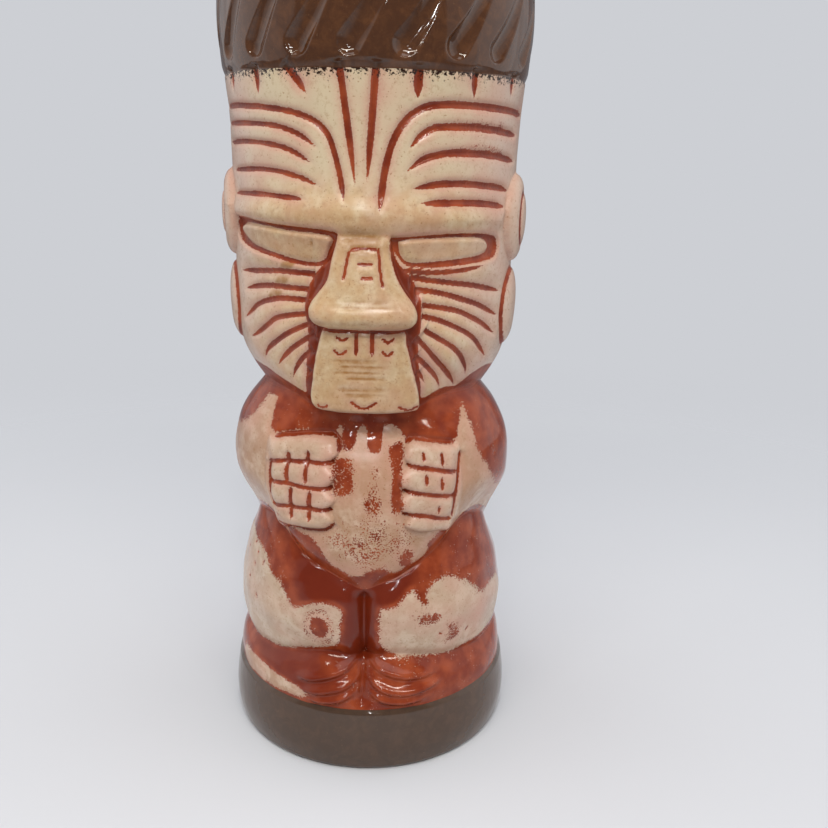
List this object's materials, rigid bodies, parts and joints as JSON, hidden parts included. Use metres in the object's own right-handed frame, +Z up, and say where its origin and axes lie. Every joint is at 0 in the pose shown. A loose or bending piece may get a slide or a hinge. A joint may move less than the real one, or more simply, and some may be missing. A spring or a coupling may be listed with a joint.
{
  "type": "tiki mug",
  "caption": "Tall cylindrical ceramic cup cast as a standing idol on a round plinth, open at the top, with a carved face, folded hands and a ribbed rim band.",
  "frame": {"origin": "centre of the flat underside, on the cup's axis", "axes": "+Z up the cup's axis towards the rim, -Y towards the face, +X to the right of someone looking at the face"},
  "size_m": [0.0704, 0.0715, 0.178],
  "materials": {
    "cream_glaze": "gloss",
    "rust_glaze": "gloss",
    "brown_glaze": "gloss",
    "olive_glaze": "gloss",
    "bare_clay": "matte"
  },
  "bodies": {
    "root": {"cup_floor": "bare_clay", "base_plinth": "olive_glaze", "legs_wall": "rust_glaze", "torso_wall": "cream_glaze", "head_wall": "cream_glaze", "rim_band": "brown_glaze", "left_foot": "rust_glaze", "right_foot": "rust_glaze", "left_leg": "cream_glaze", "right_leg": "cream_glaze", "left_arm": "cream_glaze", "right_arm": "cream_glaze", "left_hand": "cream_glaze", "right_hand": "cream_glaze", "mouth_plate": "cream_glaze", "nose": "cream_glaze", "brow_ridge": "cream_glaze", "left_eye": "cream_glaze", "right_eye": "cream_glaze", "left_ear": "cream_glaze", "right_ear": "cream_glaze"}
  },
  "joints": []
}
